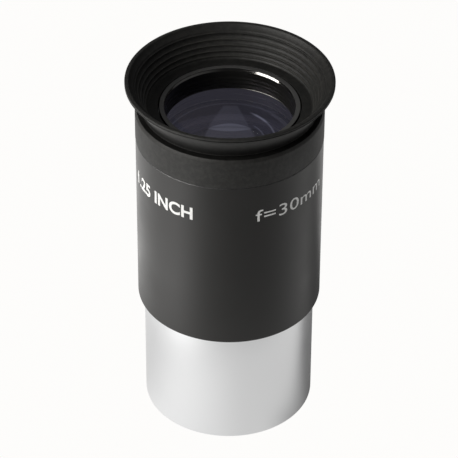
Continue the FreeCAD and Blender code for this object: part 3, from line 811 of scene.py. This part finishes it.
def level_round(n, angle, levels, top):
    """Brightness by azimuth: levels are (degrees, brightness), and top is the
    brightness that the ramp's white stands for."""
    turn = n.spread(angle, -math.pi, math.pi, 0.0, 1.0)
    ramp = n.node("ShaderNodeValToRGB")
    ramp.color_ramp.interpolation = "B_SPLINE"
    n.link(turn, ramp.inputs["Fac"])
    el = ramp.color_ramp.elements
    while len(el) < len(levels):
        el.new(0.5)
    for e, (deg, v) in zip(el, sorted(levels)):
        e.position = (deg + 180.0) / 360.0
        e.color = (v / top, v / top, v / top, 1)
    return n.math("MULTIPLY", ramp.outputs["Color"], top)


def glow(name, strength):
    n = Nodes(name)
    light = n.node("ShaderNodeEmission")
    n.put(light.inputs["Strength"], strength(n))
    light.inputs["Color"].default_value = (1.0, 0.993, 0.98, 1)
    n.link(light.outputs[0], n.out.inputs["Surface"])
    return n.mat


# The paper that the camera sees, and the pool of light on it that the object
# reflects: bright towards the key light, with the object's own shadow behind.
NEAR = [(-180, 0.78), (-165, 0.80), (-150, 0.88), (-135, 0.90), (-120, 0.86), (-105, 0.80), (-90, 0.77),
        (-70, 0.745), (-45, 0.73), (-25, 0.73), (0, 0.74), (30, 0.74), (60, 0.74), (100, 0.76), (140, 0.77),
        (180, 0.78)]
FAR = [(-180, 1.40), (-165, 1.85), (-150, 2.40), (-138, 2.04), (-125, 1.14), (-112, 0.67), (-95, 0.48),
       (-75, 0.41), (-50, 0.42), (-32, 0.57), (-15, 0.82), (0, 0.98), (20, 1.00), (50, 1.00),
       (80, 1.08), (110, 1.42), (140, 1.62), (180, 1.40)]


def pool(n):
    r, a, z = n.around()
    near = level_round(n, a, NEAR, 2.6)
    # close in, the side towards the key is brighter still and the rest dimmer
    toward = n.math("COSINE", n.math("ADD", a, math.radians(135)))
    close = n.math("ADD", n.spread(toward, 0.5, 1.0, 0.0, 0.17, smooth=True), -0.055)
    close = n.math("MULTIPLY", close, n.spread(r, 0.030, 0.041, 1.0, 0.0, smooth=True))
    near = n.math("MULTIPLY", near, n.math("ADD", close, 1.0))
    far = level_round(n, a, FAR, 2.6)
    fade = n.spread(r, 0.030, 0.110, 1.12, 0.74)
    far = n.math("MULTIPLY", far, fade)
    blend = n.spread(r, 0.040, 0.054, 0.0, 1.0, smooth=True)
    both = n.math("ADD", n.math("MULTIPLY", near, n.math("SUBTRACT", 1.0, blend)), n.math("MULTIPLY", far, blend))
    # the object's shadow: a strip as wide as the object, away from the key
    x, y, z = n.split(n.place())
    c30, s30 = math.cos(math.radians(30)), 0.5
    along = n.math("ADD", n.math("MULTIPLY", x, c30), n.math("MULTIPLY", y, s30))
    across = n.math("ABSOLUTE", n.math("SUBTRACT", n.math("MULTIPLY", y, c30), n.math("MULTIPLY", x, s30)))
    soft = n.spread(across, 0.0100, 0.0210, 1.0, 0.0, smooth=True)
    reach = n.math("MULTIPLY", n.spread(along, -0.002, 0.006, 0.0, 1.0, smooth=True),
                   n.spread(along, 0.050, 0.160, 1.0, 0.0, smooth=True))
    dark = n.math("MULTIPLY", soft, reach)
    both = n.math("MULTIPLY", both, n.math("SUBTRACT", 1.0, n.math("MULTIPLY", dark, 0.78)))
    outside = n.math("GREATER_THAN", r, 0.0156)
    wide = n.spread(r, 0.25, 0.60, 1.0, 0.35, smooth=True)
    return n.math("MULTIPLY", n.math("MULTIPLY", both, outside), wide)


paper = plane_at("floor", 6.0, -0.00004, glow("pale_floor", lambda n: 0.985))
paper.visible_diffuse = paper.visible_glossy = paper.visible_transmission = False


def wall_round(name, radius, top, mat):
    """The paper's own backdrop, far off all round, for low viewpoints."""
    bm = bmesh.new()
    count = 64
    rows = [[bm.verts.new((radius * math.cos(2 * math.pi * k / count), radius * math.sin(2 * math.pi * k / count), z))
             for k in range(count)] for z in (-0.00004, top)]
    for k in range(count):
        j = (k + 1) % count
        bm.faces.new((rows[0][k], rows[1][k], rows[1][j], rows[0][j]))
    mesh = bpy.data.meshes.new(name)
    bm.to_mesh(mesh)
    bm.free()
    mesh.materials.append(mat)
    obj = bpy.data.objects.new(name, mesh)
    scene.collection.objects.link(obj)
    return obj


backdrop = wall_round("backdrop", 2.9, 2.5, paper.data.materials[0])
backdrop.visible_diffuse = backdrop.visible_glossy = backdrop.visible_transmission = False
backdrop.visible_shadow = False
light_pool = plane_at("floor_light_pool", 6.0, -0.00002, glow("floor_light_pool", pool))
light_pool.visible_camera = False


def area(name, azimuth, elevation, distance, size_x, size_y, power, colour=(1, 1, 1)):
    az, el = math.radians(azimuth), math.radians(elevation)
    middle = Vector((0, 0, 0.05))
    out = Vector((math.cos(az) * math.cos(el), math.sin(az) * math.cos(el), math.sin(el)))
    light = bpy.data.lights.new(name, "AREA")
    light.shape = "RECTANGLE"
    light.size, light.size_y = size_x, size_y
    light.energy = power
    light.color = colour
    obj = bpy.data.objects.new(name, light)
    obj.location = middle + out * distance
    obj.rotation_mode = "QUATERNION"
    obj.rotation_quaternion = (-out).to_track_quat("-Z", "Y")
    scene.collection.objects.link(obj)
    return obj


area("key_left", -152.5, 28.5, 0.55, 0.50, 0.17, 3.3, (1.0, 0.985, 0.955))

world = bpy.data.worlds.new("studio")
scene.world = world
world.use_nodes = True


def sky():
    """Dim room, with a paler wall behind the object."""
    tree = world.node_tree
    tree.nodes.clear()
    n = Nodes.__new__(Nodes)
    n.tree, n.coord = tree, None
    coord = n.node("ShaderNodeTexCoord").outputs["Generated"]
    x, y, z = n.split(coord)
    el = math.radians(38)
    behind = n.math("ADD", n.math("MULTIPLY", y, math.cos(el)), n.math("MULTIPLY", z, math.sin(el)))
    wall = n.spread(behind, 0.80, 0.97, 0.0, 0.20, smooth=True)
    right = n.math("ADD", n.math("MULTIPLY", x, 0.64), n.math("MULTIPLY", z, 0.77))
    level = n.math("ADD", n.math("ADD", wall, 0.035), n.spread(right, 0.55, 0.95, 0.0, 0.16, smooth=True))
    back = n.node("ShaderNodeBackground")
    back.inputs["Color"].default_value = (1.0, 1.0, 1.0, 1)
    n.link(level, back.inputs["Strength"])
    out = n.node("ShaderNodeOutputWorld")
    n.link(back.outputs[0], out.inputs["Surface"])


sky()

# ----------------------------------------------------------------------- camera
elevation, distance, roll = 0.652757909, 0.522557114, 0.00512045988
target = Vector((-0.0000396677, 0.0, 0.0372706486))
back = Vector((0.0, -math.cos(elevation), math.sin(elevation)))
cam_data = bpy.data.cameras.new("camera")
cam_data.sensor_width = 36.0
cam_data.lens = 36.0 * 2812.38324 / 458.0
cam_data.clip_start = 0.01
cam_data.clip_end = 20.0
cam = bpy.data.objects.new("camera", cam_data)
cam.location = target + back * distance
turn = (-back).to_track_quat("-Z", "Y").to_matrix() @ Matrix.Rotation(roll, 3, "Z")
cam.rotation_mode = "QUATERNION"
cam.rotation_quaternion = turn.to_quaternion()
scene.collection.objects.link(cam)
scene.camera = cam
